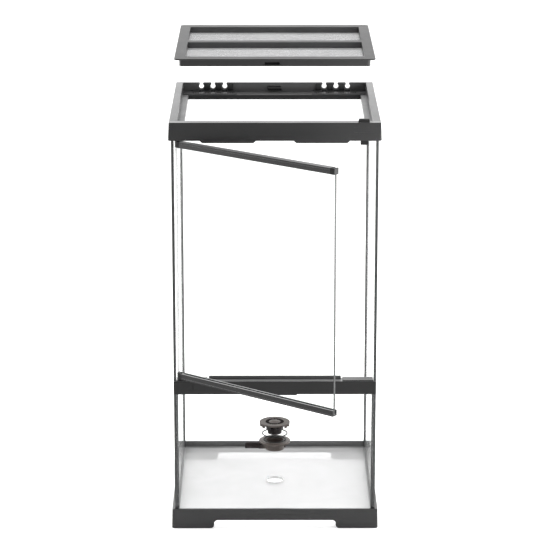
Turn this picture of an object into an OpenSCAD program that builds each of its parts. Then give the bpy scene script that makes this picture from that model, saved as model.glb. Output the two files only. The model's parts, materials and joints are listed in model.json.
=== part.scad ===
// Tall front-opening glass terrarium with a lift-off screen lid, a side-hinged
// door, closable cable inlets and a floor drain. Millimetres, +Z up, front is -Y.
// Origin: centre of the footprint, on the surface it stands on.
// The door is drawn open, the lid raised off its seat and the drain taken apart.

/* [Glass tank] */
// Outside width and depth of the glass box
glass_w = 300; // [260:1:340]
// Thickness of every glass pane
glass_t = 4; // [3:0.5:5]
// Height of the top of the top frame above the ground
tank_h = 622; // [520:1:700]
// Height of the floor pane's underside above the ground
floor_z = 17; // [17:0.5:18.5]

/* [Base frame] */
// Outside width of the base at the ground
base_w = 309.6; // [309:0.1:312]
// Height of the base fascia
base_h = 30.4; // [28:0.1:36]
// Width of the cutout between the feet
foot_gap_w = 182.8; // [120:0.1:220]
// Height of the cutout between the feet
foot_gap_h = 12.8; // [6:0.1:12.9]

/* [Door sill bar] */
// Height of the sill bar's underside
sill_z = 211.2; // [160:0.1:260]
// Height of the sill bar's fascia
sill_h = 20.3; // [18:0.1:26]

/* [Top frame] */
// Height of the top frame's fascia
top_h = 26.4; // [26:0.1:30]
// Depth of the seat for the lid
seat_depth = 13.6; // [13:0.1:14]

/* [Door] */
// Angle at which the door is drawn open
door_open = 37.7; // [0:0.1:105]
// Height of the door's plastic rails
rail_h = 9; // [8:0.1:9.4]

/* [Lid] */
// Height the lid is drawn above its seat
lid_lift = 89; // [0:0.5:150]
// Outside width and depth of the lid's rim
lid_w = 289; // [287:0.1:292]
// Depth of the lid's skirt below the rim
skirt_h = 10; // [9.5:0.1:11]

/* [Drain] */
// Diameter of the hole in the floor pane
drain_hole_d = 27; // [26.8:0.1:30]
// Diameter of the strainer's flange
strainer_d = 47; // [46:0.1:52]
// Height at which the outlet's flange is drawn
drain_z = 87; // [70:0.5:120]
// Number of slots in the strainer
strainer_slots = 20; // [12:1:20]

/* [Hidden] */
$fn = 96;
e = 0.01;

plastic = [0.27, 0.27, 0.28];
black = [0.07, 0.07, 0.075];
pane = [0.75, 0.9, 0.88, 0.35];
taupe = [0.4, 0.37, 0.35];

g = glass_w / 2;             // glass outer half width
gi = g - glass_t;            // glass inner half width
clr = 0.4;                   // play between glass and frames
gc = g + clr;
floor_top = floor_z + glass_t;
draft_b = 0.9;               // base draft per side
tt = tank_h;                 // top of the top frame
tb = tank_h - top_h;         // bottom of the top fascia
ledge = tt - seat_depth;     // seat ledge
lip_z = ledge - 7;           // bottom of the ledge's lip
fascia = 152.85;             // half width of the top frame at its top
seat_x = 142.25;             // half width of the lid seat
seat_front = 139.5;          // front wall of the seat
seat_rear = 148;             // rear wall of the seat
open_x = 133;                // half width of the top opening
open_front = 130;
open_rear = 117.5;
notches = [77.3, 95.7, 113.6];
notch_bottom = tt - 9.3;
notch_d = 7.4;
notch_w = 4.8;
sill_top = sill_z + sill_h;
pin_x = -139.5;              // door pivot
pin_y = -147.9;
pin_r = 2;
rail_t = 10;
top_rail_z = tb - 1.6 - rail_h;
bottom_rail_z = sill_top + 3;
rail_end = 143.5;            // free end of the closed door
lock_x = 128.5;
lock_y = -147.4;
lid_y = 1.5;                 // the lid sits a little behind the tank's centre
lid_z = tt + lid_lift;       // underside of the lid's rim
lid_t = 2;
lid_h = lid_w / 2;
skirt = 137.5;
win_x = 129;
win_in = 8;
win_out = 124.5;

// box from its low and high corners
module bx(a, b) translate(a) cube(b - a);

// rounded rectangle, centred
module rsq(w, d, r) {
    square([w - 2 * r, d], center = true);
    square([w, d - 2 * r], center = true);
    for (x = [-1, 1], y = [-1, 1])
        translate([x * (w / 2 - r), y * (d / 2 - r)]) circle(r);
}

// drafted block: bottom half width b, top half width t
module drafted(b, t, z0, z1, r) {
    intersection() {
        translate([0, 0, z0]) linear_extrude(z1 - z0) rsq(2 * max(b, t), 2 * max(b, t), r);
        rotate([90, 0, 0]) translate([0, 0, -200]) linear_extrude(400)
            polygon([[-b, z0 - e], [b, z0 - e], [t, z1 + e], [-t, z1 + e]]);
        rotate([90, 0, 90]) translate([0, 0, -200]) linear_extrude(400)
            polygon([[-b, z0 - e], [b, z0 - e], [t, z1 + e], [-t, z1 + e]]);
    }
}

// profile of the gap between two feet, with flared mouth and rounded roof
module foot_gap() {
    w = foot_gap_w / 2;
    r = 5.4;
    f = 5.6;
    difference() {
        union() {
            translate([-w, -1]) square([2 * w, foot_gap_h + 1 - r]);
            translate([-w + r, -1]) square([2 * (w - r), foot_gap_h + 1]);
            for (s = [-1, 1]) translate([s * (w - r), foot_gap_h - r]) circle(r);
            for (s = [-1, 1]) translate([s * (w + f / 2 - 1), (f - 2) / 2])
                square([f + 1.6, f + 2], center = true);
        }
        for (s = [-1, 1]) translate([s * (w + f - 0.2), f - 0.2]) circle(f);
    }
}

module base_frame() color(plastic) {
    b = base_w / 2;
    difference() {
        drafted(b, b - draft_b, 0, base_h, 4);
        bx([-gc, -gc, floor_z], [gc, gc, base_h + 1]);
        bx([-gc, -gc, -1], [gc, gc, floor_z - 4]);
        bx([-gi + 1, -gi + 1, -1], [gi - 1, gi - 1, floor_z + 1]);
        rotate([90, 0, 0]) translate([0, 0, -200]) linear_extrude(400) foot_gap();
    }
    // corner pads under the floor pane
    for (x = [-1, 1], y = [-1, 1])
        translate([x * (gi - 7), y * (gi - 7), floor_z - 1.5])
            cube([14.2, 14.2, 3], center = true);
    // stiffening ribs on the inside of the side walls
    for (x = [-1, 1], y = [-90, -30, 30, 90])
        translate([x * (gc - 1.6), y, (floor_z - 4) / 2 + 1.5])
            cube([4, 2.4, floor_z - 7], center = true);
}

module floor_glass() color(pane)
    difference() {
        bx([-gi + 0.4, -gi + 0.4, floor_z], [gi - 0.4, gi - 0.4, floor_top]);
        translate([0, 0, floor_z - 1]) cylinder(d = drain_hole_d, h = glass_t + 2);
    }

module side_glass() color(pane)
    bx([gi, -g, floor_z], [g, gi - 1, tt - 5.8]);

module left_glass() mirror([1, 0, 0]) side_glass();
module right_glass() side_glass();

module rear_glass() color(pane)
    bx([-g, gi, floor_z], [g, g, ledge - 2.8]);

module front_lower_glass() color(pane)
    bx([-gi + 0.6, -g, floor_z], [gi - 0.6, -gi, sill_z + 10.6]);

module silicone_seams() color(black) {
    f = 2.6;
    for (s = [-1, 1]) scale([s, 1, 1]) {
        // rear corners
        translate([0, 0, floor_top]) linear_extrude(lip_z - 0.2 - floor_top)
            polygon([[gi, gi - f], [gi, gi - 1], [g, gi - 1], [g, gi], [gi - f, gi]]);
        // front corners, beside the lower pane
        translate([0, 0, floor_top]) linear_extrude(sill_z - 0.4 - floor_top)
            polygon([[gi, -g], [gi, -gi + f], [gi - f, -gi], [gi - 0.6, -gi], [gi - 0.6, -g]]);
        // floor edges at the sides
        rotate([90, 0, 0]) translate([0, 0, -gi]) linear_extrude(2 * gi)
            polygon([[gi, floor_top], [gi, floor_top + f], [gi - f, floor_top]]);
    }
    // floor edges at the front and rear
    for (s = [-1, 1]) scale([1, s, 1])
        rotate([90, 0, 90]) translate([0, 0, -gi]) linear_extrude(2 * gi)
            polygon([[gi, floor_top], [gi, floor_top + f], [gi - f, floor_top]]);
}

module sill_bar() color(plastic)
    difference() {
        union() {
            bx([-g, -fascia, sill_z], [g, -gc, sill_top]);
            bx([-gi + 0.4, -gc - e, sill_z], [gi - 0.4, -135.4, sill_top]);
            // raised lip behind the closed door
            bx([-97.9, -142.6, sill_top - e], [97.9, -139.6, sill_top + 5.2]);
            // raised ends
            for (s = [-1, 1]) scale([s, 1, 1])
                bx([100, -fascia + 0.6, sill_top - e], [gi - 0.4, -135.4, sill_top + 1.5]);
            // finger tab under the fascia
            rotate([90, 0, 0]) translate([0, 0, gc]) linear_extrude(fascia - gc)
                polygon([[-33, sill_z], [-31.5, sill_z - 1.5], [31.5, sill_z - 1.5], [33, sill_z]]);
        }
        // groove for the lower front pane
        bx([-gi, -gc, sill_z - 1], [gi, -gi + 0.4, sill_z + 11]);
        // hollow underside
        bx([-gi + 8, -143, sill_z - 1], [gi - 8, -137.8, sill_top - 2.4]);
        // seat of the lower hinge bushing
        translate([pin_x, pin_y, sill_z + 12]) cylinder(d = 6.5, h = 12);
        // joint slit at the hinge side
        bx([-121.9, -fascia - 1, sill_z + 7], [-121.1, -fascia + 0.7, sill_z + 17.5]);
    }

// keyhole inlet profile, mouth at the tank's top edge
module keyhole() {
    cz = notch_bottom + notch_d / 2;
    translate([0, cz]) circle(d = notch_d);
    translate([-notch_w / 2, cz]) square([notch_w, tt + 1 - cz]);
    difference() {
        translate([-notch_w / 2 - 1.6, tt - 1.6]) square([notch_w + 3.2, 3]);
        for (s = [-1, 1]) translate([s * (notch_w / 2 + 1.6), tt - 1.6]) circle(1.6);
    }
}

module top_frame() color(plastic)
    difference() {
        top_shell();
        // seat of the upper hinge bushing, and room for its pin
        translate([pin_x, pin_y, tb - 1]) cylinder(d = 6.5, h = 11.3);
        translate([pin_x, pin_y, tb]) cylinder(r = pin_r + 0.4, h = 13);
        // bore for the lock's stem
        translate([lock_x, lock_y, tt - 18]) cylinder(d = 4, h = 20);
    }

module top_shell() {
    difference() {
        drafted(154.25, fascia, tb, tt, 4);
        // inside of the fascia, below the ledge
        bx([-gc, -gc, tb - 1], [gc, gc, lip_z]);
        // grooves for the side panes
        for (s = [-1, 1]) scale([s, 1, 1])
            bx([gi - 0.6, -gc, tb - 1], [gc, gi, tt - 5.4]);
        // groove for the rear pane
        bx([-gc, gi - 0.6, tb - 1], [gc, gc, ledge - 2.4]);
        // hollow front beam, with a rib on each side of the lock and the hinge
        bx([-132, -gc, tb - 1], [118, -142, tt - 2.4]);
        bx([121, -gc, tb - 1], [gi - 3, -142, tt - 6]);
        // pocket that the lock button sinks into
        bx([120.2, -151.6, tt - 3.6], [136.9, -143.2, tt + 1]);
        // seat for the lid
        bx([-seat_x, -seat_front, ledge], [seat_x, seat_rear, tt + 1]);
        // top opening
        bx([-open_x, -open_front, tb - 1], [open_x, open_rear, tt]);
        // hollows under the ledge
        for (s = [-1, 1]) scale([s, 1, 1])
            bx([open_x + 2.4, -open_front + 1, tb - 1], [gi - 3, open_rear - 1, ledge - 2.4]);
        bx([-gi + 3, open_rear + 2.4, tb - 1], [gi - 3, gi - 3, ledge - 2.4]);
        bx([-gi + 6, -seat_front + 2.5, tb - 1], [gi - 6, -open_front - 2.4, ledge - 2.4]);
        // cable inlets in the rear wall, and the slots in the ledge below them
        for (s = [-1, 1], n = notches) {
            translate([s * n, seat_rear - 2, 0]) rotate([90, 0, 0])
                translate([0, 0, -12]) linear_extrude(12) keyhole();
            bx([s * n - 3.7, 127, ledge - 5], [s * n + 3.7, gi - 3.6, ledge + 1]);
        }
        // recess below the lid latch
        bx([-11, seat_rear - e, ledge + 0.8], [11, seat_rear + 1.6, ledge + 4.6]);
        // faint square on the fascia under the lock button
        translate([124.8, -fascia - 0.41, tt - 7.7]) rotate([86.97, 0, 0])
            translate([0, 0, -0.3]) linear_extrude(3) difference() {
                square([19.6, 13.4], center = true);
                square([18.6, 12.4], center = true);
            }
    }
    // door stops behind the fascia
    for (s = [-1, 1]) scale([s, 1, 1])
        rotate([90, 0, 0]) translate([0, 0, 139.5]) linear_extrude(3.1)
            polygon([[26, tb - 1.5], [31, tb - 6], [105, tb - 6], [110, tb - 1.5], [110, lip_z + 3], [26, lip_z + 3]]);
    // boss of the upper hinge bushing
    translate([pin_x, pin_y, tb + 1]) cylinder(d = 9, h = top_h - 3);
    // guide of the lock plunger
    translate([lock_x, lock_y, tt - 16]) cylinder(d = 7.2, h = 12);
    // guide rails of the cable gates
    for (s = [-1, 1]) scale([s, 1, 1])
        bx([58, 121.2, ledge - e], [141, 122.7, ledge + 2]);
    // nub that the lid's front slot snaps over
    bx([-9, -seat_front - e, ledge + 7.2], [9, -seat_front + 3.1, ledge + 9.8]);
}

module lid_latch() color(plastic)
    rotate([90, 0, 90]) translate([0, 0, -10]) linear_extrude(20)
        polygon([[148, ledge + 4.7], [148, ledge + 8.6], [146.2, ledge + 7.4],
                 [139.9, ledge + 6.8], [139.4, ledge + 6.2], [139.4, ledge + 5.6],
                 [140.1, ledge + 4.9], [146, ledge + 4.7]]);

module hinge_bushings() color(black) {
    translate([pin_x, pin_y, sill_top + 1.5]) difference() {
        union() {
            translate([0, 0, -9]) cylinder(d = 6.5, h = 9.2);
            cylinder(d = 8.6, h = 0.9);
        }
        translate([0, 0, -10]) cylinder(r = pin_r + 0.05, h = 12);
    }
    translate([pin_x, pin_y, tb + 0.2]) difference() {
        cylinder(d = 6.5, h = 10);
        translate([0, 0, -1]) cylinder(r = pin_r + 0.05, h = 12);
    }
}

module cable_gate() color(plastic)
    difference() {
        union() {
            bx([62, 123.2, ledge + 0.3], [127, 147.4, ledge + 1.8]);
            for (n = notches)
                bx([n - 9.1 - 4.3, 145.8, ledge + 1.7], [n - 9.1 + 4.3, 147.4, tt - 1.4]);
            // finger grip ribs
            for (i = [0 : 16]) bx([64 + 3.8 * i, 123.6, ledge + 1.7], [65.4 + 3.8 * i, 126.2, ledge + 2.8]);
        }
        for (n = notches) bx([n - 3.7, 127.2, ledge - 1], [n + 3.7, 145.2, ledge + 3]);
    }

module cable_gate_right() cable_gate();
module cable_gate_left() mirror([1, 0, 0]) cable_gate();

module lock_knob() color(black)
    difference() {
        union() {
            bx([120.6, -151.3, tt - 0.3], [136.5, -143.5, tt + 3.4]);
            bx([121.2, -150.7, tt + 3.3], [135.9, -144.1, tt + 4.6]);
        }
        translate([lock_x, lock_y, tt - 1]) cylinder(d = 6.2, h = 4);
        translate([lock_x, lock_y, tt + 2.9]) cylinder(d = 3.5, h = 0.6);
    }

module lock_plunger() color(black)
    union() {
        translate([lock_x, lock_y, tb + 1.5]) cylinder(d = 3.5, h = tt + 3.5 - tb - 1.5);
        translate([lock_x, lock_y, tb + 2]) cylinder(d = 5.6, h = 8);
        bx([124, -149.9, tb + 1.4], [135.8, -134, lip_z - 0.6]);
        bx([124, -142.6, tb - 8.6], [135.8, -134, tb + 1.5]);
    }

spring_r = 2.6;
spring_wire = 0.3;
spring_turns = 4;
spring_z0 = tt - 3.5 + spring_wire;
spring_z1 = tt + 2.9 - spring_wire;
// compression spring swept along its helix
module lock_spring() color([0.7, 0.7, 0.72]) {
    steps = 16 * spring_turns;
    k = 6;
    path = [for (i = [0 : steps]) let (a = 360 * spring_turns * i / steps, f = i / steps)
        [a, spring_z0 + (spring_z1 - spring_z0) * f]];
    pts = [for (p = path, j = [0 : k - 1]) let (b = 360 * j / k, r = spring_r + spring_wire * cos(b))
        [lock_x + r * cos(p[0]), lock_y + r * sin(p[0]), p[1] + spring_wire * sin(b)]];
    sides = [for (i = [0 : steps - 1], j = [0 : k - 1])
        [i * k + j, (i + 1) * k + j, (i + 1) * k + (j + 1) % k, i * k + (j + 1) % k]];
    ends = [[for (j = [0 : k - 1]) j], [for (j = [k - 1 : -1 : 0]) steps * k + j]];
    polyhedron(pts, concat(sides, ends), convexity = 8);
}

// everything on the door is built closed, then swung about the pivot
module swing() translate([pin_x, pin_y, 0]) rotate([0, 0, -door_open])
    translate([-pin_x, -pin_y, 0]) children();

module door_glass() color(pane) swing()
    difference() {
        bx([pin_x - 4.5, pin_y - 2, bottom_rail_z + 2.7], [rail_end - 1, pin_y + 2, top_rail_z + rail_h - 2.7]);
        bx([pin_x - 6, pin_y - 4, bottom_rail_z], [pin_x + 5.2, pin_y + 4, bottom_rail_z + rail_h + 0.3]);
        bx([pin_x - 6, pin_y - 4, top_rail_z - 0.3], [pin_x + 5.2, pin_y + 4, top_rail_z + rail_h]);
    }

// rail cross-section: height above the rail's outer edge grows towards the glass
module rail(z, up, x1) swing()
    difference() {
        union() {
            bx([pin_x + 5.2, pin_y - rail_t / 2, z], [x1, pin_y + rail_t / 2, z + rail_h]);
        }
        // groove that grips the glass
        bx([pin_x + 4, pin_y - 2.1, up ? z + 2.6 : z - 1], [x1 + 1, pin_y + 2.1, up ? z + rail_h + 1 : z + rail_h - 2.6]);
        // shadow line along the front and back
        for (s = [-1, 1])
            translate([(x1 + pin_x) / 2, pin_y + s * rail_t / 2, up ? z + 2.4 : z + rail_h - 2.4])
                cube([x1 - pin_x + 2, 0.8, 0.7], center = true);
    }

module door_bottom_rail() color(plastic) rail(bottom_rail_z, true, rail_end);
module door_top_rail() color(plastic) rail(top_rail_z, false, rail_end - 8);

// steel-faced cap on the free end of the top rail, met by the lock
module door_strike() color(black) swing()
    difference() {
        bx([rail_end - 8, pin_y - rail_t / 2, top_rail_z], [rail_end, pin_y + rail_t / 2, top_rail_z + rail_h]);
        bx([rail_end - 9, pin_y - 2.1, top_rail_z - 1], [rail_end - 0.6, pin_y + 2.1, top_rail_z + rail_h - 2.6]);
        bx([rail_end - 6, pin_y + 2.8, top_rail_z + 5.6], [rail_end - 1.6, pin_y + 6, top_rail_z + rail_h + 1]);
    }

// end block with the pivot pin
module hinge_block(z, up) swing() {
    difference() {
        union() {
            translate([pin_x, pin_y, z]) cylinder(d = rail_t, h = rail_h);
            bx([pin_x, pin_y - rail_t / 2, z], [pin_x + 5.2, pin_y + rail_t / 2, z + rail_h]);
        }
        for (s = [-1, 1])
            translate([pin_x + 2.6, pin_y + s * rail_t / 2, z + rail_h / 2])
                cube([1, 0.6, rail_h - 3], center = true);
    }
    translate([pin_x, pin_y, up ? z + 1 : z - 7.4]) cylinder(r = pin_r, h = 8.4 + rail_h - 1);
}

module door_hinge_upper() color(black) hinge_block(top_rail_z, true);
module door_hinge_lower() color(black) hinge_block(bottom_rail_z, false);

// rectangle of one lid window, grown by m
module window(s, m) translate([-win_x - m, s > 0 ? win_in - m : -win_out - m])
    square([2 * (win_x + m), win_out - win_in + 2 * m]);

module lid_frame() color(plastic) translate([0, lid_y, lid_z])
    difference() {
        union() {
            linear_extrude(lid_t) rsq(lid_w, lid_w, 5);
            // skirt
            translate([0, 0, -skirt_h]) linear_extrude(skirt_h + e) difference() {
                rsq(2 * skirt, 2 * skirt, 5);
                rsq(2 * skirt - 4.4, 2 * skirt - 4.4, 3);
            }
            // window wells
            translate([0, 0, -6.7]) linear_extrude(6.7 + e) for (s = [-1, 1]) window(s, 2.2);
            // ribs between the wells and the skirt
            for (x = [-96, -48, 0, 48, 96], s = [-1, 1])
                bx([x - 0.9, s > 0 ? 126 : -136.4, -6], [x + 0.9, s > 0 ? 136.4 : -126, e]);
            for (y = [-96, -48, 48, 96], s = [-1, 1])
                bx([s > 0 ? 131 : -136.4, y - 0.9, -6], [s > 0 ? 136.4 : -131, y + 0.9, e]);
            // pocket behind the slot in the skirt
            bx([-16.8, -136.4, -9.4], [9.2, -129.2, e]);
        }
        translate([0, 0, -20]) linear_extrude(40) for (s = [-1, 1]) window(s, 0);
        // blind slot in the front of the skirt, notch in the rear
        bx([-14.8, -skirt - 1, -7.6], [7.2, -131, -3.9]);
        bx([-11, skirt - 3, -skirt_h - 1], [11, skirt + 1, -6.2]);
    }

module lid_mesh(s) color([0.6, 0.6, 0.62]) translate([0, lid_y, lid_z - 7.5])
    linear_extrude(0.8) window(s, 2);

module lid_mesh_front() lid_mesh(-1);
module lid_mesh_rear() lid_mesh(1);

module mesh_retainers() color(plastic) for (s = [-1, 1])
    translate([0, lid_y, lid_z - 9.5]) linear_extrude(2) difference() {
        window(s, 4.2);
        window(s, 0);
    }

strainer_z = drain_z + 27;   // underside of the strainer's disc
module drain_strainer() color(taupe) {
    difference() {
        union() {
            translate([0, 0, strainer_z]) cylinder(d = strainer_d, h = 2.5);
            // stepped neck
            translate([0, 0, strainer_z - 10]) cylinder(d = 26.6, h = 10 + e);
            translate([0, 0, strainer_z - 16]) cylinder(d = 22, h = 6 + e);
            // bayonet teeth under the rim
            intersection() {
                translate([0, 0, strainer_z - 3.4]) difference() {
                    cylinder(d = strainer_d, h = 3.5);
                    translate([0, 0, -1]) cylinder(d = 41.6, h = 6);
                }
                union() for (a = [51, 74, 106, 129, 231, 254, 286, 309])
                    rotate([0, 0, a - 90]) translate([0, -2.3, strainer_z - 4]) cube([30, 4.6, 5]);
            }
        }
        // bore of the neck
        translate([0, 0, strainer_z - 17]) cylinder(d = 18, h = 17.4);
        translate([0, 0, strainer_z - 9]) cylinder(d = 23, h = 9.2);
        // radial slots
        for (i = [0 : strainer_slots - 1]) rotate([0, 0, 360 * i / strainer_slots])
            translate([9.2, -1.05, strainer_z - 1]) cube([5, 2.1, 5]);
        // windows in the neck
        for (i = [0 : 7]) rotate([0, 0, 45 * i + 22.5])
            translate([0, -2.6, strainer_z - 7]) cube([20, 5.2, 5]);
    }
    // low dome over the hub
    intersection() {
        translate([0, 0, strainer_z + 2.4 - 23]) sphere(r = 24.6);
        translate([0, 0, strainer_z + 2]) cylinder(d = 17, h = 4);
    }
}

module ring(r, w, z) translate([0, 0, z]) rotate_extrude() translate([r, 0]) circle(w);

module drain_o_ring() color(black) ring(19.25, 1, drain_z + 10.4);

module drain_flange_ring() color(black) ring(16.4, 1.1, drain_z);

module drain_outlet() color(taupe)
    difference() {
        union() {
            translate([0, 0, drain_z - 4]) cylinder(d = 48.5, h = 4);
            translate([0, 0, drain_z - 14.9]) cylinder(d = 29, h = 12.5);
            // hose spigot with a collar where it meets the cup
            translate([0, 0, drain_z - 9.4]) rotate([0, -90, 0]) cylinder(d = 10.4, h = 46);
            translate([0, 0, drain_z - 9.4]) rotate([0, -90, 0]) cylinder(d = 11.6, h = 25);
            // keying lug
            bx([13, -2.5, drain_z - 12.5], [17, 2.5, drain_z - 3.9]);
        }
        translate([0, 0, drain_z - 12.5]) cylinder(d = 25, h = 14);
        translate([0, 0, drain_z - 3.8]) cylinder(d = 27.6, h = 5);
        translate([0, 0, drain_z - 9.4]) rotate([0, -90, 0]) cylinder(d = 6.6, h = 47);
        // seat of the flange ring
        translate([0, 0, drain_z - 1.15]) difference() {
            cylinder(r = 17.6, h = 2);
            translate([0, 0, -1]) cylinder(r = 15.2, h = 4);
        }
        // shallow step round the rim
        translate([0, 0, drain_z - 0.8]) difference() {
            cylinder(d = 60, h = 2);
            translate([0, 0, -1]) cylinder(d = 44, h = 4);
        }
    }

base_frame();
floor_glass();
left_glass();
right_glass();
rear_glass();
front_lower_glass();
silicone_seams();
sill_bar();
top_frame();
lid_latch();
hinge_bushings();
cable_gate_left();
cable_gate_right();
lock_knob();
lock_plunger();
lock_spring();
door_glass();
door_top_rail();
door_bottom_rail();
door_hinge_upper();
door_hinge_lower();
door_strike();
lid_frame();
lid_mesh_front();
lid_mesh_rear();
mesh_retainers();
drain_strainer();
drain_o_ring();
drain_flange_ring();
drain_outlet();
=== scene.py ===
"""Looks of the tall glass terrarium: finishes, softened mouldings, woven screens, panes, seams, floor, light and camera.

Everything is in metres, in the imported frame. Distances written in millimetres go through mm().
"""

import json
import math

import bmesh
import bpy
import numpy as np
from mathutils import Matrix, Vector
from mathutils.bvhtree import BVHTree


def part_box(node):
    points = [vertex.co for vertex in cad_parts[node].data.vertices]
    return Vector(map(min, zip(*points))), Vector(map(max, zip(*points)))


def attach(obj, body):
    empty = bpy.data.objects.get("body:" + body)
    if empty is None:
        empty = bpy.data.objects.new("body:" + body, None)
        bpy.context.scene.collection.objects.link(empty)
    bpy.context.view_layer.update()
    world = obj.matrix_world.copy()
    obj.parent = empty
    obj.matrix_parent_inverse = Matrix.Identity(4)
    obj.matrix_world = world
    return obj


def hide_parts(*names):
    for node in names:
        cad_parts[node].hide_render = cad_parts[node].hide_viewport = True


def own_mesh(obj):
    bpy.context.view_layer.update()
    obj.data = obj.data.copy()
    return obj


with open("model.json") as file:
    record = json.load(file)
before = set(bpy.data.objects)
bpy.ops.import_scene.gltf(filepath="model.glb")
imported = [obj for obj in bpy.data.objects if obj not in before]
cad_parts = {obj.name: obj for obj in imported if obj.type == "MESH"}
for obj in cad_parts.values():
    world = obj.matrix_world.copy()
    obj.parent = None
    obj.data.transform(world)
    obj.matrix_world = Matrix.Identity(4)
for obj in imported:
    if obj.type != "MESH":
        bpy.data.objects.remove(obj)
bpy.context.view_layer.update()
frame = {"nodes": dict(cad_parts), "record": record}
nodes = frame["nodes"]
body_of_node = {
    n: b for b, ns in frame["record"]["behaviour"]["bodies"].items() for n in ns
}
scene = bpy.context.scene


def mm(*values):
    out = tuple(v * 0.001 for v in values)
    return out if len(out) > 1 else out[0]


# ---------------------------------------------------------------- materials


class Shader:
    """A small helper that builds a node tree."""

    def __init__(self, name):
        self.mat = bpy.data.materials.new(name)
        self.mat.use_nodes = True
        self.tree = self.mat.node_tree
        self.tree.nodes.clear()
        self.out = self.tree.nodes.new("ShaderNodeOutputMaterial")
        self.place = self.add("ShaderNodeTexCoord")

    def add(self, kind, props=None, **sockets):
        n = self.tree.nodes.new(kind)
        for k, v in (props or {}).items():
            setattr(n, k, v)
        for k, v in sockets.items():
            self.set(n, k, v)
        return n

    def set(self, n, socket, value):
        key = socket.replace("_", " ")
        found = [s for s in n.inputs if s.name.lower() == key.lower() and s.enabled]
        if not found:
            raise KeyError(f"{n.bl_idname} has no input {key}")
        if isinstance(value, bpy.types.NodeSocket):
            self.tree.links.new(value, found[0])
        else:
            found[0].default_value = value

    @property
    def obj(self):
        return self.place.outputs["Object"]

    def noise(self, scale, detail=2.0, roughness=0.5, vector=None, distortion=0.0):
        n = self.add(
            "ShaderNodeTexNoise",
            Scale=scale,
            Detail=detail,
            Roughness=roughness,
            Distortion=distortion,
            Vector=vector or self.obj,
        )
        return n.outputs["Fac"]

    def stretch(self, sx, sy, sz):
        n = self.add("ShaderNodeMapping", Vector=self.obj)
        n.inputs["Scale"].default_value = (sx, sy, sz)
        return n.outputs["Vector"]

    def span(self, value, lo, hi, from_lo=0.3, from_hi=0.7):
        n = self.add("ShaderNodeMapRange", {"clamp": True})
        self.tree.links.new(value, n.inputs["Value"])
        for k, v in (
            ("From Min", from_lo),
            ("From Max", from_hi),
            ("To Min", lo),
            ("To Max", hi),
        ):
            n.inputs[k].default_value = v
        return n.outputs["Result"]

    def math(self, op, a, b=None, clamp=False):
        n = self.add("ShaderNodeMath", {"operation": op, "use_clamp": clamp})
        for i, v in enumerate((a, b)):
            if v is None:
                continue
            if isinstance(v, bpy.types.NodeSocket):
                self.tree.links.new(v, n.inputs[i])
            else:
                n.inputs[i].default_value = v
        return n.outputs[0]

    def blend(self, fac, a, b, mode="MIX"):
        n = self.add("ShaderNodeMix", {"data_type": "RGBA", "blend_type": mode})
        for sock, v in ((n.inputs[0], fac), (n.inputs[6], a), (n.inputs[7], b)):
            if isinstance(v, bpy.types.NodeSocket):
                self.tree.links.new(v, sock)
            else:
                sock.default_value = v if not isinstance(v, tuple) else (*v[:3], 1.0)
        return n.outputs[2]

    def bump(self, height, strength, distance, normal=None):
        n = self.add("ShaderNodeBump", Strength=strength, Distance=distance)
        self.tree.links.new(height, n.inputs["Height"])
        if normal is not None:
            self.tree.links.new(normal, n.inputs["Normal"])
        return n.outputs["Normal"]

    def finish(self, shader):
        self.tree.links.new(shader.outputs[0], self.out.inputs["Surface"])
        return self.mat


def shade(c, k):
    return tuple(min(1.0, x * k) for x in c)


def moulded_plastic(name, base, rough=(0.38, 0.5), grain=0.16, level=0.5, warm=None, ring=None):
    """Injection-moulded plastic with a fine spark-eroded grain, faint flow mottling and uneven gloss. ring is
    an inner and outer radius about the upright axis, in metres, and the darker colour painted between them as
    shade."""
    s = Shader(name)
    broad = s.noise(11.0, 2.0, 0.5)
    flow = s.noise(26.0, 3.0, 0.55, s.stretch(1.0, 1.0, 3.0), 0.6)
    fine = s.noise(1900.0, 2.0, 0.6)
    pits = s.add("ShaderNodeTexVoronoi", Scale=2400.0, Vector=s.obj).outputs["Distance"]
    tone = s.blend(s.span(broad, 0.0, 1.0), shade(base, 0.96), shade(base, 1.04))
    tone = s.blend(s.span(flow, 0.0, 0.3), tone, warm or shade(base, 1.1))
    tone = s.blend(s.span(fine, 0.0, 0.3, 0.35, 0.75), tone, shade(base, 0.85))
    if ring:
        # painted shade: a darker colour between the two radii stands in for the shade in recesses
        inner, outer, dark = ring
        xyz = s.add("ShaderNodeSeparateXYZ", Vector=s.obj)
        x, y = xyz.outputs["X"], xyz.outputs["Y"]
        r = s.math("SQRT", s.math("ADD", s.math("MULTIPLY", x, x), s.math("MULTIPLY", y, y)))
        painted_shade_mask = s.math(
            "MULTIPLY",
            s.span(r, 0.0, 1.0, inner - mm(0.15), inner + mm(0.15)),
            s.span(r, 1.0, 0.0, outer - mm(0.15), outer + mm(0.15)),
        )
        tone = s.blend(painted_shade_mask, tone, dark)
    gloss = s.math(
        "ADD", s.span(flow, *rough), s.span(fine, -0.02, 0.02, 0.3, 0.7)
    )
    if ring:
        # the painted shade ring is matt as well
        gloss = s.math("MAXIMUM", gloss, painted_shade_mask)
    height = s.math("ADD", s.math("MULTIPLY", fine, 0.6), s.math("MULTIPLY", pits, 0.8))
    p = s.add(
        "ShaderNodeBsdfPrincipled",
        Base_Color=tone,
        Roughness=gloss,
        IOR=1.5,
        Specular_IOR_Level=level,
        Normal=s.bump(height, grain, 0.00006),
    )
    return s.finish(p)


def rubber(name, base, rough=0.55):
    s = Shader(name)
    fine = s.noise(1400.0, 3.0, 0.6)
    broad = s.noise(60.0, 2.0, 0.5)
    tone = s.blend(s.span(broad, 0.0, 1.0), base, shade(base, 1.6))
    p = s.add(
        "ShaderNodeBsdfPrincipled",
        Base_Color=tone,
        Roughness=s.span(fine, rough - 0.08, rough + 0.08),
        IOR=1.45,
        Specular_IOR_Level=0.45,
        Normal=s.bump(fine, 0.25, 0.00005),
    )
    return s.finish(p)


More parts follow.
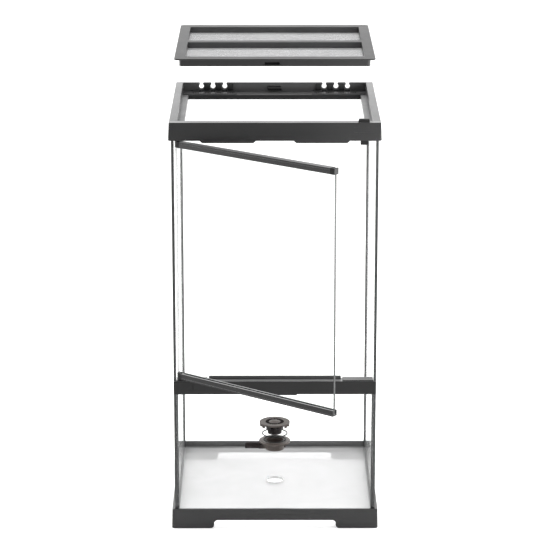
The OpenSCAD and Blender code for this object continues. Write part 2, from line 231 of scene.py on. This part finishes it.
def silicone_seal(name, base):
    """Tooled sealant: smooth, with slow ripples left by the finger and a soft gloss."""
    s = Shader(name)
    ripple = s.noise(40.0, 2.0, 0.5, s.stretch(1.0, 1.0, 0.6), 0.3)
    broad = s.noise(18.0, 2.0, 0.5)
    p = s.add(
        "ShaderNodeBsdfPrincipled",
        Base_Color=s.blend(s.span(broad, 0.0, 1.0), base, shade(base, 1.5)),
        Roughness=s.span(ripple, 0.3, 0.4),
        IOR=1.42,
        Normal=s.bump(ripple, 0.15, 0.0003),
    )
    return s.finish(p)


def wire_metal(name, base, metallic, rough):
    s = Shader(name)
    grain = s.noise(1500.0, 2.0, 0.6)
    broad = s.noise(22.0, 2.0, 0.5)
    tone = s.blend(s.span(broad, 0.0, 1.0), shade(base, 0.9), shade(base, 1.08))
    p = s.add(
        "ShaderNodeBsdfPrincipled",
        Base_Color=tone,
        Metallic=metallic,
        Roughness=s.span(grain, rough - 0.07, rough + 0.07),
        IOR=1.5,
    )
    return s.finish(p)


def pane_glass(
    name, tint=(0.99, 0.993, 0.991), haze=0.0, haze_tone=(0.93, 0.935, 0.94), veil=0.0
):
    """A thin pane: what is behind shows straight through, and both faces mirror the room by Fresnel.
    haze mixes in a little milky film, and veil one that only shows along the pane."""
    s = Shader(name)
    back = s.add("ShaderNodeNewGeometry").outputs["Backfacing"]
    # the far face of a slab is met from inside, so its ratio is turned over
    ior = s.add("ShaderNodeMapRange")
    s.tree.links.new(back, ior.inputs["Value"])
    ior.inputs["To Min"].default_value = 1.5
    ior.inputs["To Max"].default_value = 1.0 / 1.5
    fres = s.add("ShaderNodeFresnel")
    s.tree.links.new(ior.outputs["Result"], fres.inputs["IOR"])
    # coated: nothing facing the pane, a full mirror along it
    coated = s.span(s.math("POWER", fres.outputs[0], 1.9), 0.0, 1.0, 0.005, 1.0)
    smear = s.noise(9.0, 3.0, 0.55, s.stretch(1.0, 1.0, 0.45), 0.5)
    rough = s.span(smear, 0.012, 0.05, 0.42, 0.75)
    clear = s.add("ShaderNodeBsdfTransparent", Color=(*tint, 1.0))
    mirror = s.add("ShaderNodeBsdfAnisotropic", Color=(1, 1, 1, 1), Roughness=rough)
    thin = s.add("ShaderNodeMixShader")
    s.tree.links.new(coated, thin.inputs[0])
    s.tree.links.new(clear.outputs[0], thin.inputs[1])
    s.tree.links.new(mirror.outputs[0], thin.inputs[2])
    last = thin
    if veil:
        dust = s.add(
            "ShaderNodeBsdfDiffuse", Color=(0.66, 0.66, 0.66, 1.0), Roughness=0.0
        )
        mix = s.add("ShaderNodeMixShader")
        share = s.math("MULTIPLY", s.math("POWER", fres.outputs[0], 2.0), veil)
        s.tree.links.new(share, mix.inputs[0])
        s.tree.links.new(thin.outputs[0], mix.inputs[1])
        s.tree.links.new(dust.outputs[0], mix.inputs[2])
        last = mix
    if haze:
        film = s.add(
            "ShaderNodeBsdfPrincipled",
            Base_Color=(*haze_tone, 1.0),
            Roughness=0.4,
            IOR=1.5,
        )
        mix = s.add("ShaderNodeMixShader")
        s.tree.links.new(s.span(smear, haze * 0.92, haze * 1.08), mix.inputs[0])
        s.tree.links.new(thin.outputs[0], mix.inputs[1])
        s.tree.links.new(film.outputs[0], mix.inputs[2])
        last = mix
    return s.finish(last)


def ground_edge(name, base, rough=(0.2, 0.34)):
    """The ground and polished edge of a pane: dark, because light in the slab leaves elsewhere, with fine
    grinding marks along it."""
    s = Shader(name)
    marks = s.noise(700.0, 3.0, 0.6, s.stretch(1.0, 1.0, 0.06))
    broad = s.noise(13.0, 2.0, 0.5)
    tone = s.blend(s.span(broad, 0.0, 1.0), shade(base, 0.85), shade(base, 1.2))
    tone = s.blend(s.span(marks, 0.0, 0.45, 0.4, 0.75), tone, shade(base, 1.9))
    p = s.add(
        "ShaderNodeBsdfPrincipled",
        Base_Color=tone,
        Roughness=s.span(marks, *rough),
        IOR=1.5,
        Normal=s.bump(marks, 0.2, 0.00005),
    )
    return s.finish(p)


PLASTIC = moulded_plastic("satin_charcoal_plastic", (0.015, 0.015, 0.0154), (0.3, 0.325), level=0.36)
RAIL = moulded_plastic("rail_plastic", (0.017, 0.017, 0.0175), (0.3, 0.325), level=0.4)
INNER_PAINTED_LIGHT = moulded_plastic("inner_plastic_painted_light", (0.068, 0.068, 0.069), (0.34, 0.4), level=0.5)
LID_TOP = moulded_plastic("lid_top_plastic", (0.015, 0.015, 0.0154), (0.43, 0.47), level=0.4)
RAIL_LOW_PAINTED_SHADE = moulded_plastic("lower_rail_painted_shade", (0.011, 0.011, 0.0113), (0.3, 0.325), level=0.3)
# painted light: a lighter copy of the plastic for the sill's lip and the walls of the lid's wells
PAINTED_LIGHT_PLASTIC = moulded_plastic("plastic_painted_light", (0.042, 0.042, 0.043), (0.34, 0.4), level=0.5)
SILL_PAINTED_SHADE = moulded_plastic("sill_plastic_painted_shade", (0.009, 0.009, 0.0093), (0.3, 0.325), level=0.26)
BASE_SIDE_PAINTED_LIGHT = moulded_plastic("base_side_painted_light", (0.075, 0.075, 0.0765), (0.3, 0.34), level=0.5)
RIM_FRONT_PAINTED_HIGHLIGHT = moulded_plastic("front_rim_painted_highlight", (0.16, 0.16, 0.163), (0.3, 0.34), level=0.5)
RIM_SIDE_PAINTED_HIGHLIGHT = moulded_plastic("side_rim_painted_highlight", (0.05, 0.05, 0.051), (0.32, 0.36), level=0.45)
BASE_REAR_PAINTED_LIGHT = moulded_plastic("base_rear_painted_light", (0.12, 0.12, 0.1215), (0.34, 0.4), level=0.5)
# painted highlight: a light plastic for the upward faces of the sill's ledge and the door rails
TOP_PAINTED_HIGHLIGHT = moulded_plastic("painted_highlight_plastic", (0.16, 0.16, 0.163), (0.32, 0.36))
BLACK = moulded_plastic("black_plastic", (0.004, 0.004, 0.0042), (0.36, 0.4), level=0.25)
TAUPE = moulded_plastic(
    "taupe_drain_plastic", (0.064, 0.050, 0.044), (0.4, 0.52), warm=(0.074, 0.053, 0.045)
)
STRAINER = moulded_plastic(
    "taupe_strainer_plastic",
    (0.05, 0.039, 0.035),
    (0.5, 0.6),
    warm=(0.057, 0.043, 0.037),
    level=0.36,
    # painted shade: the ring of slots in the cap's top is painted near black
    ring=mm(9.1, 14.4) + ((0.006, 0.004, 0.004),),
)
UMBER_AND_SHADE = moulded_plastic("umber_drain_plastic_and_painted_shade", (0.011, 0.007, 0.007), (0.42, 0.48), level=0.25)
RUBBER = rubber("seal_rubber", (0.012, 0.012, 0.0125))
SEALANT = silicone_seal("sealant", (0.1, 0.101, 0.103))
SEALANT_PAINTED_LIGHT = silicone_seal("sealant_painted_light_over_white", (0.15, 0.15, 0.152))
SEALANT_PAINTED_SHADE = silicone_seal("sealant_painted_shade_in_corner", (0.036, 0.036, 0.0365))
WIRE = wire_metal("screen_wire", (0.44, 0.44, 0.445), 0.5, 0.42)
STEEL = wire_metal("spring_steel", (0.56, 0.56, 0.58), 1.0, 0.25)
GLASS = pane_glass("pane_glass")
SIDE_GLASS = pane_glass("side_pane_glass", veil=0.2)
FLOOR_GLASS = pane_glass(
    "floor_pane_glass", (0.805, 0.802, 0.805), haze=0.34, haze_tone=(0.68, 0.676, 0.68)
)
EDGE = ground_edge("pane_edge", (0.02, 0.0215, 0.0215))
RIM = ground_edge("frosted_rim", (0.5, 0.5, 0.5), (0.4, 0.55))

# ---------------------------------------------------------------- mesh helpers


def crossings(bm):
    """Middles, in millimetres, of small faces that cut through others."""
    t = bm.copy()
    bmesh.ops.triangulate(t, faces=t.faces[:])
    t.verts.index_update()
    vs = [v.co * 1000 for v in t.verts]
    fs = [tuple(v.index for v in f.verts) for f in t.faces]
    t.free()
    tree = BVHTree.FromPolygons(vs, fs, epsilon=0.0)
    found = []
    for a, b in tree.overlap(tree):
        if a < b and not set(fs[a]) & set(fs[b]):
            ta, tb = [vs[i] for i in fs[a]], [vs[i] for i in fs[b]]
            size = lambda q: (q[1] - q[0]).cross(q[2] - q[0]).length
            small = ta if size(ta) < size(tb) else tb
            found.append((small[0] + small[1] + small[2]) / 3)
    return found


def softened(mesh, width, angle=35.0, segments=2, tries=12):
    """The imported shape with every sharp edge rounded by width, apart from the few where the rounding would
    cut through a neighbour."""
    base = bmesh.new()
    base.from_mesh(mesh)
    bmesh.ops.remove_doubles(base, verts=base.verts, dist=2e-6)
    bmesh.ops.dissolve_limit(
        base, angle_limit=math.radians(1.0), verts=base.verts, edges=base.edges
    )
    base.edges.index_update()
    base.edges.ensure_lookup_table()
    sharp = [
        e.index
        for e in base.edges
        if len(e.link_faces) == 2 and e.calc_face_angle(0) > math.radians(angle)
    ]
    a = np.array([base.edges[i].verts[0].co[:] for i in sharp]) * 1000
    ab = np.array([base.edges[i].verts[1].co[:] for i in sharp]) * 1000 - a
    left = np.ones(len(sharp), bool)
    bm = None
    for _ in range(tries):
        if bm is not None:
            bm.free()
        bm = base.copy()
        bm.edges.ensure_lookup_table()
        geom = [bm.edges[i] for i, k in zip(sharp, left) if k]
        bmesh.ops.bevel(
            bm,
            geom=geom,
            offset=width,
            offset_type="OFFSET",
            segments=segments,
            profile=0.5,
            affect="EDGES",
            clamp_overlap=False,
            miter_outer="ARC",
            loop_slide=True,
        )
        drop = np.zeros(len(sharp), bool)
        for p in crossings(bm):
            q = np.array(p)
            t = np.clip(
                ((q - a) * ab).sum(1) / np.maximum((ab * ab).sum(1), 1e-12), 0, 1
            )
            d = np.linalg.norm(a + ab * t[:, None] - q, axis=1)
            d[~left] = 1e9
            drop |= d < d.min() + 0.15
        if not drop.any():
            break
        left &= ~drop
    base.free()
    # the rounding leaves a few edges of no length where it ends
    bmesh.ops.dissolve_degenerate(bm, dist=3e-6, edges=bm.edges[:])
    return bm


def new_object(name, bm_or_mesh, *materials):
    if isinstance(bm_or_mesh, bmesh.types.BMesh):
        mesh = bpy.data.meshes.new(name)
        bm_or_mesh.to_mesh(mesh)
        bm_or_mesh.free()
    else:
        mesh = bm_or_mesh
    mesh.name = name
    o = bpy.data.objects.new(name, mesh)
    scene.collection.objects.link(o)
    for m in materials:
        mesh.materials.append(m)
    return o


def smooth(o, angle=32.0, weighted=True):
    """Smooth shading that keeps creases, with flat faces kept flat beside their rounded edges."""
    mesh = o.data
    mesh.polygons.foreach_set("use_smooth", [True] * len(mesh.polygons))
    mesh.set_sharp_from_angle(angle=math.radians(angle))
    if weighted:
        m = o.modifiers.new("weighted", "WEIGHTED_NORMAL")
        m.mode = "FACE_AREA"
        m.weight = 80
        m.keep_sharp = True
    return o


def stands_for(o, *names):
    body = body_of_node[names[0]]
    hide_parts(*names)
    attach(o, body)
    return o


def moulding(node, material, width, name, segments=2, angle=32.0, others=(), parting=None):
    """others are pairs of a material and a test, of a face's middle in millimetres and its normal, for where
    it goes. parting is a y, in millimetres, where the topmost faces are split in two."""
    bm = softened(nodes[node].data, mm(width), segments=segments)
    if parting is not None:
        top = max(v.co.z for v in bm.verts)
        flat = [f for f in bm.faces if f.normal.z > 0.999 and f.calc_center_median().z > top - mm(0.1)]
        parts = {x for f in flat for x in (*f.verts, *f.edges)}
        bmesh.ops.bisect_plane(
            bm,
            geom=flat + list(parts),
            dist=1e-7,
            plane_co=(0.0, mm(parting), 0.0),
            plane_no=(0.0, 1.0, 0.0),
        )
    o = new_object(name, bm, material)
    for i, (extra, test) in enumerate(others):
        o.data.materials.append(extra)
        for f in o.data.polygons:
            if test(f.center * 1000, f.normal):
                f.material_index = i + 1
    return stands_for(smooth(o, angle), node)


# ---------------------------------------------------------------- plastic pieces

# painted light: the inner faces of the base's rear and side walls, seen through the floor pane, take lighter
# plastics
moulding(
    "base_frame",
    PLASTIC,
    0.5,
    "base_moulding",
    others=[
        (BASE_REAR_PAINTED_LIGHT, lambda c, n: c.z > 17 and c.y > 100 and n.y < -0.5),
        (BASE_SIDE_PAINTED_LIGHT, lambda c, n: c.z > 17 and abs(c.x) > 140 and n.x * c.x < -50),
    ],
)
# painted light: the frame's inner walls and ledge take a lighter plastic against the lid's shade, and its top
# faces take lighter painted highlights, brightest on the front rim, which the parting at y -141 mm splits off
moulding(
    "top_frame",
    PLASTIC,
    0.4,
    "top_moulding",
    others=[
        (
            INNER_PAINTED_LIGHT,
            lambda c, n: c.z > 606
            and max(abs(c.x), abs(c.y)) < 149
            and (n.z < 0.7 or c.z < 613),
        ),
        (RIM_FRONT_PAINTED_HIGHLIGHT, lambda c, n: c.z > 620 and n.z > 0.7 and c.y < -141),
        (RIM_SIDE_PAINTED_HIGHLIGHT, lambda c, n: c.z > 620 and n.z > 0.7 and c.y > -141),
        # the lip under the seat is in shade
        (BLACK, lambda c, n: n.y < -0.9 and 116 < c.y < 118.5 and c.z < 608),
    ],
    parting=-141.0,
)
# painted shade: the sill is a darker copy of the plastic; its ledge takes a painted highlight and its lip
# painted light
moulding(
    "sill_bar",
    SILL_PAINTED_SHADE,
    0.4,
    "sill_moulding",
    others=[
        (TOP_PAINTED_HIGHLIGHT, lambda c, n: n.z > 0.7 and 231.2 < c.z < 231.9),
        (PAINTED_LIGHT_PLASTIC, lambda c, n: c.z > 232 and abs(c.x) < 98.5 and -143 < c.y < -139.4),
    ],
)
moulding("lid_latch", PLASTIC, 0.3, "lid_latch_tongue")
moulding("hinge_bushings", BLACK, 0.3, "hinge_bushing_pair")
moulding("cable_gate_left", PLASTIC, 0.2, "cable_gate_comb_left")
moulding("cable_gate_right", PLASTIC, 0.2, "cable_gate_comb_right")
moulding("lock_knob", BLACK, 0.4, "lock_button_cap")
moulding("lock_plunger", BLACK, 0.3, "lock_plunger_block")
# painted shade: the bottom rail is a darker copy of the rail plastic; both rails' upward faces take a painted
# highlight
for rail, finish, name in (
    ("door_top_rail", RAIL, "door_rail_top"),
    ("door_bottom_rail", RAIL_LOW_PAINTED_SHADE, "door_rail_bottom"),
):
    moulding(rail, finish, 0.4, name, others=[(TOP_PAINTED_HIGHLIGHT, lambda c, n: n.z > 0.7)])
moulding("door_hinge_upper", BLACK, 0.3, "door_hinge_block_upper")
moulding("door_hinge_lower", BLACK, 0.3, "door_hinge_block_lower")
moulding("door_strike", BLACK, 0.3, "door_strike_cap")
# painted shade: the blind slot in the front of the skirt is coloured black for the shade inside it, and the
# walls of the wells take a lighter copy as painted light
moulding(
    "lid_frame",
    PLASTIC,
    0.4,
    "lid_moulding",
    others=[
        (
            BLACK,
            lambda c, n: -15.4 < c.x < 7.8 and -135.6 < c.y < -128.9 and 703.1 < c.z < 707.5,
        ),
        (PAINTED_LIGHT_PLASTIC, lambda c, n: abs(c.x) < 126.5 and abs(c.y) < 128.5 and abs(n.z) < 0.5),
        (LID_TOP, lambda c, n: c.z > 711 and n.z > 0.7),
    ],
)
moulding("mesh_retainers", PLASTIC, 0.3, "screen_retainer_pair")
moulding(
    "drain_outlet",
    TAUPE,
    0.4,
    "drain_body",
    # the outlet's faces left of x -19 mm and below z 85 mm take the dark umber plastic
    others=[(UMBER_AND_SHADE, lambda c, n: c.x < -19.0 and c.z < 85)],
)
# painted shade: the neck and the slot walls under the strainer's rim take the dark umber plastic for the
# shade there
moulding(
    "drain_strainer",
    STRAINER,
    0.25,
    "drain_strainer_cap",
    others=[
        (
            UMBER_AND_SHADE,
            lambda c, n: (c.z < 113.5 and math.hypot(c.x, c.y) < 14.5)
            or (c.z < 116.2 and 9.0 < math.hypot(c.x, c.y) < 14.6 and abs(n.z) < 0.5),
        )
    ],
)

for node in ("drain_o_ring", "drain_flange_ring"):
    o = nodes[node]
    o.data.materials.clear()
    o.data.materials.append(RUBBER)

# ---------------------------------------------------------------- glass


def pane(node, name, face_material, edge_material=EDGE, pale_towards=None):
    bm = softened(nodes[node].data, mm(0.4), segments=2)
    total = sum(f.calc_area() for f in bm.faces)
    for f in bm.faces:
        f.material_index = 0 if f.calc_area() > 0.3 * total else 1
    # floor pane: the two big faces are split by the hole, so they are found by their normal
    if node == "floor_glass":
        for f in bm.faces:
            f.material_index = 0 if abs(f.normal.z) > 0.999 else 1
    o = new_object(name, bm, face_material, edge_material)
    if pale_towards:
        # an edge that is bedded in a joint, where it stays pale
        o.data.materials.append(RIM)
        for f in o.data.polygons:
            if f.material_index == 1 and f.normal.dot(Vector(pale_towards)) > 0.7:
                f.material_index = 2
    return stands_for(smooth(o, 25.0), node)


pane("floor_glass", "floor_pane", FLOOR_GLASS, RIM)
pane("left_glass", "side_pane_left", SIDE_GLASS)
pane("right_glass", "side_pane_right", SIDE_GLASS)
pane("rear_glass", "rear_pane", GLASS)
pane("front_lower_glass", "front_lower_pane", GLASS)
turn = math.radians(37.7)
pane("door_glass", "door_pane", GLASS, pale_towards=(-math.cos(turn), math.sin(turn), 0))

# ---------------------------------------------------------------- sealant seams


def wobble(t, seed):
    """A smooth value from -1 to 1 along t, in metres, the same on every run."""
    return (
        math.sin(t * 61.0 + seed)
        + 0.6 * math.sin(t * 143.0 + seed * 2.3)
        + 0.35 * math.sin(t * 311.0 + seed * 4.1)
    ) / 1.95


def seam(bm, start, end, u, v, fill, size, seed, steps, finish=0):
    """A tooled fillet in the corner between two panes. start and end are points on the corner line, u and v
    unit vectors away from it along each pane, fill a list of extra (u, v) points that close its back, and
    finish the material slot."""
    start, end, u, v = Vector(start), Vector(end), Vector(u), Vector(v)
    rings = []
    for i in range(steps + 1):
        c = start.lerp(end, i / steps)
        t = (c - start).length
        f = size * (1 + 0.03 * wobble(t, seed))
        arc = []
        for k in range(7):
            # concave: follows a circle of radius f about (f, f)
            a = math.pi / 2 * k / 6
            arc.append((f * (1 - math.sin(a)) + 1e-5, f * (1 - math.cos(a)) + 1e-5))
        pts = arc + fill
        rings.append([bm.verts.new(c + u * x + v * y) for x, y in pts])
    n = len(rings[0])
    made = [
        bm.faces.new((r0[k], r0[(k + 1) % n], r1[(k + 1) % n], r1[k]))
        for r0, r1 in zip(rings, rings[1:])
        for k in range(n)
    ]
    made += [bm.faces.new(list(reversed(rings[0]))), bm.faces.new(rings[-1])]
    for f in made:
        f.material_index = finish


gi, g, floor_top = mm(146.0, 150.0, 21.0)
lip_z, sill_z = mm(601.4 - 0.2, 211.2 - 0.4)
bm = bmesh.new()
e = 2e-5
steps = 40
for s in (-1, 1):
    # rear corners, with the joint between the side pane's edge and the rear pane, in a darker copy of the
    # sealant as painted shade
    seam(
        bm,
        (s * gi, gi, floor_top),
        (s * gi, gi, lip_z),
        (-s, 0, 0),
        (0, -1, 0),
        [(e, mm(1) - e), (-mm(4) + e, mm(1) - e), (-mm(4) + e, e), (e, e)],
        mm(1.8),
        1.0 + s,
        90,
        2,
    )
    # front corners, beside the lower pane
    seam(
        bm,
        (s * gi, -gi, floor_top),
        (s * gi, -gi, sill_z),
        (-s, 0, 0),
        (0, 1, 0),
        [(e, e)],
        mm(2.3),
        4.0 + s,
        steps,
    )
    # the floor's sides, in a paler copy of the sealant as painted light from the white below
    seam(
        bm,
        (s * gi, -gi + mm(0.5), floor_top),
        (s * gi, gi - mm(0.5), floor_top),
        (-s, 0, 0),
        (0, 0, 1),
        [(e, e)],
        mm(2.4),
        7.0 + s,
        steps,
        1,
    )
    # the floor's front and rear, in the same paler painted-light sealant
    seam(
        bm,
        (-gi + mm(0.5), s * gi, floor_top),
        (gi - mm(0.5), s * gi, floor_top),
        (0, -s, 0),
        (0, 0, 1),
        [(e, e)],
        mm(2.4),
        10.0 + s,
        steps,
        1,
    )
bmesh.ops.recalc_face_normals(bm, faces=bm.faces)
stands_for(
    smooth(new_object("sealant_seams", bm, SEALANT, SEALANT_PAINTED_LIGHT, SEALANT_PAINTED_SHADE), 40.0, weighted=False),
    "silicone_seams",
)

# ---------------------------------------------------------------- woven screens


def weave(node, name, pitch=1.75, wire=0.17, rise=0.16):
    """Plain-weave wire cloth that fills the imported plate's box: every wire is a tube that passes over and
    under the ones across it."""
    lo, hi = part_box(node)
    z = (lo.z + hi.z) / 2
    x0, x1, y0, y1 = lo.x + mm(0.3), hi.x - mm(0.3), lo.y + mm(0.3), hi.y - mm(0.3)
    nx, ny = (
        int(round((x1 - x0) / mm(pitch))) + 1,
        int(round((y1 - y0) / mm(pitch))) + 1,
    )
    rng = np.random.default_rng(7)
    xs = np.linspace(x0, x1, nx) + rng.normal(0, mm(0.03), nx)
    ys = np.linspace(y0, y1, ny) + rng.normal(0, mm(0.03), ny)
    r, amp = mm(wire), mm(rise)
    verts, faces = [], []

    def tubes(along, across, flip):
        ring = np.array([(r, 0), (0, r), (-r, 0), (0, -r)])
        base = sum(len(v) for v in verts)
        n, m = len(along), len(across)
        i, j = np.meshgrid(np.arange(n), np.arange(m), indexing="ij")
        h = z + amp * np.where((i + j) % 2 == 0, 1, -1) * (-1 if flip else 1)
        a = np.broadcast_to(along[:, None], (n, m))
        c = np.broadcast_to(across[None, :], (n, m))
        # rings[k]: wire j, point i, corner k
        side = c[:, :, None] + ring[None, None, :, 0]
        up = h[:, :, None] + ring[None, None, :, 1]
        run = np.broadcast_to(a[:, :, None], side.shape)
        p = (
            np.stack([side, run, up], -1) if flip else np.stack([run, side, up], -1)
        )  # (n, m, 4, 3)
        p = p.transpose(1, 0, 2, 3).reshape(-1, 3)
        verts.append(p)
        idx = base + np.arange(m * n * 4).reshape(m, n, 4)
        q = []
        for k in range(4):
            k2 = (k + 1) % 4
            quad = np.stack(
                [idx[:, :-1, k], idx[:, :-1, k2], idx[:, 1:, k2], idx[:, 1:, k]], -1
            ).reshape(-1, 4)
            q.append(quad[:, ::-1] if flip else quad)
        for end, rev in ((0, True), (n - 1, False)):
            cap = idx[:, end, :]
            cap = cap[:, ::-1] if rev != flip else cap
            q.append(cap)
        faces.append(np.concatenate(q))

    tubes(xs, ys, False)
    tubes(ys, xs, True)
    v, f = np.concatenate(verts), np.concatenate(faces)
    mesh = bpy.data.meshes.new(name)
    mesh.vertices.add(len(v))
    mesh.vertices.foreach_set("co", v.astype(np.float32).ravel())
    mesh.loops.add(f.size)
    mesh.loops.foreach_set("vertex_index", f.astype(np.int32).ravel())
    mesh.polygons.add(len(f))
    mesh.polygons.foreach_set("loop_start", np.arange(0, f.size, 4, dtype=np.int32))
    mesh.polygons.foreach_set("use_smooth", [True] * len(f))
    mesh.update(calc_edges=True)
    mesh.validate()
    o = new_object(name, mesh, WIRE)
    return stands_for(o, node)


weave("lid_mesh_front", "screen_front")
weave("lid_mesh_rear", "screen_rear")

# ---------------------------------------------------------------- lock spring


def coil(name, centre, radius, wire, z0, z1, turns, sides=10, per_turn=28):
    bm = bmesh.new()
    n = int(turns * per_turn)
    rings = []
    for i in range(n + 1):
        t = i / n
        a = 2 * math.pi * turns * t
        # closed end coils
        u = min(max((t - 0.11) / 0.78, 0.0), 1.0)
        h = z0 + (z1 - z0) * (0.06 * min(t / 0.11, 1) + 0.88 * u + 0.06 * max((t - 0.89) / 0.11, 0))
        radial = Vector((math.cos(a), math.sin(a), 0))
        c = Vector((*centre, h)) + radial * radius
        rings.append(
            [
                bm.verts.new(
                    c
                    + radial * wire * math.cos(2 * math.pi * k / sides)
                    + Vector((0, 0, 1)) * wire * math.sin(2 * math.pi * k / sides)
                )
                for k in range(sides)
            ]
        )
    for r0, r1 in zip(rings, rings[1:]):
        for k in range(sides):
            bm.faces.new((r0[k], r1[k], r1[(k + 1) % sides], r0[(k + 1) % sides]))
    bm.faces.new(list(reversed(rings[0])))
    bm.faces.new(rings[-1])
    bmesh.ops.recalc_face_normals(bm, faces=bm.faces)
    return smooth(new_object(name, bm, STEEL), 60.0, weighted=False)


lo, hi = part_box("lock_spring")
mid = (lo + hi) / 2
spring = coil(
    "lock_return_spring",
    (mid.x, mid.y),
    (hi.x - lo.x) / 2 - mm(0.32),
    mm(0.29),
    lo.z + mm(0.3),
    hi.z - mm(0.3),
    4,
)
stands_for(spring, "lock_spring")
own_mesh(spring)

# ---------------------------------------------------------------- floor

s = Shader("pale_floor")
soft = s.noise(2.2, 3.0, 0.5)
xyz = s.add("ShaderNodeSeparateXYZ", Vector=s.obj)
# painted light: extra glow inside the tank's footprint, fading to nothing at its walls, that lifts the shade
# under the tank
under = s.math(
    "MULTIPLY",
    s.span(s.math("ABSOLUTE", xyz.outputs["X"]), 1.0, 0.0, 0.143, 0.15),
    s.span(s.math("ABSOLUTE", xyz.outputs["Y"]), 1.0, 0.0, 0.143, 0.15),
)
# away from the lights the floor is lifted, so that it stays pale from the back as well
away = s.span(xyz.outputs["Y"], 0.75, 0.0, -6.0, -2.5)
p = s.add(
    "ShaderNodeBsdfPrincipled",
    Base_Color=s.blend(s.span(soft, 0.0, 1.0), (0.93, 0.93, 0.93), (0.945, 0.945, 0.945)),
    Roughness=0.75,
    Specular_IOR_Level=0.2,
    Emission_Color=(1.0, 1.0, 1.0, 1.0),
    Emission_Strength=s.math("ADD", s.math("ADD", s.math("MULTIPLY", under, 0.35), away), 0.25),
)
FLOOR = s.finish(p)
bm = bmesh.new()
bmesh.ops.create_grid(bm, x_segments=8, y_segments=8, size=20.0)
floor = new_object("floor", bm, FLOOR)
floor.location.z = -0.0002

# ---------------------------------------------------------------- light

world = bpy.data.worlds.new("studio")
scene.world = world
world.use_nodes = True
wt = world.node_tree
wt.nodes.clear()
wout = wt.nodes.new("ShaderNodeOutputWorld")
wbg = wt.nodes.new("ShaderNodeBackground")
wbg.inputs["Strength"].default_value = 0.3
wtc = wt.nodes.new("ShaderNodeTexCoord")
wsep = wt.nodes.new("ShaderNodeSeparateXYZ")
wt.links.new(wtc.outputs["Generated"], wsep.inputs[0])
wmap = wt.nodes.new("ShaderNodeMapRange")
wmap.inputs["From Min"].default_value = -0.2
wmap.inputs["From Max"].default_value = 1.0
wt.links.new(wsep.outputs["Z"], wmap.inputs["Value"])
wramp = wt.nodes.new("ShaderNodeMix")
wramp.data_type = "RGBA"
wt.links.new(wmap.outputs["Result"], wramp.inputs[0])
wramp.inputs[6].default_value = (0.99, 0.99, 0.99, 1)
wramp.inputs[7].default_value = (1.0, 1.0, 1.0, 1)
wt.links.new(wramp.outputs[2], wbg.inputs["Color"])
wt.links.new(wbg.outputs[0], wout.inputs["Surface"])


def softbox(name, place, aim, size, power):
    data = bpy.data.lights.new(name, "AREA")
    data.shape = "RECTANGLE"
    data.size, data.size_y = size
    data.energy = power
    o = bpy.data.objects.new(name, data)
    o.location = place
    o.rotation_mode = "QUATERNION"
    o.rotation_quaternion = (Vector(aim) - Vector(place)).to_track_quat("-Z", "Y")
    o.visible_camera = False
    scene.collection.objects.link(o)
    return o


softbox("ceiling", (0.0, 5.0, 3.5), (0.0, 5.0, 0.0), (12.0, 14.0), 690.0)
softbox("back", (0.0, 0.95, 0.67), (0.0, 0.0, 0.62), (1.3, 0.5), 2.6)
softbox("horizon", (0.0, 7.5, 2.0), (0.0, 0.0, 0.8), (8.0, 2.6), 10.0)
softbox("key", (0.7, -0.65, 0.75), (0.08, -0.1, 0.5), (0.4, 0.4), 5.0)
softbox("front", (0.42, -1.15, 0.42), (0.16, 0.0, 0.62), (0.5, 0.24), 1.4)
for side in (-1, 1):
    softbox(
        "side_left" if side < 0 else "side_right",
        (side * 1.3, 0.3, 0.55),
        (0.0, 0.0, 0.42),
        (1.1, 1.1),
        16.0,
    )

# ---------------------------------------------------------------- camera

cam_data = bpy.data.cameras.new("camera")
cam_data.sensor_width = 36.0
cam_data.lens = 159.42
cam_data.clip_start = 0.05
cam_data.clip_end = 60.0
cam = bpy.data.objects.new("camera", cam_data)
cam.location = mm(-7.5, -3583.3, 1349.6)
cam.rotation_mode = "XYZ"
cam.rotation_euler = (
    math.radians(90.0 - 15.552),
    0.0,
    math.radians(-0.128),
)
scene.collection.objects.link(cam)
scene.camera = cam

scene.view_settings.view_transform = "Standard"
scene.view_settings.look = "None"
scene.cycles.transparent_max_bounces = 40
scene.cycles.max_bounces = 12
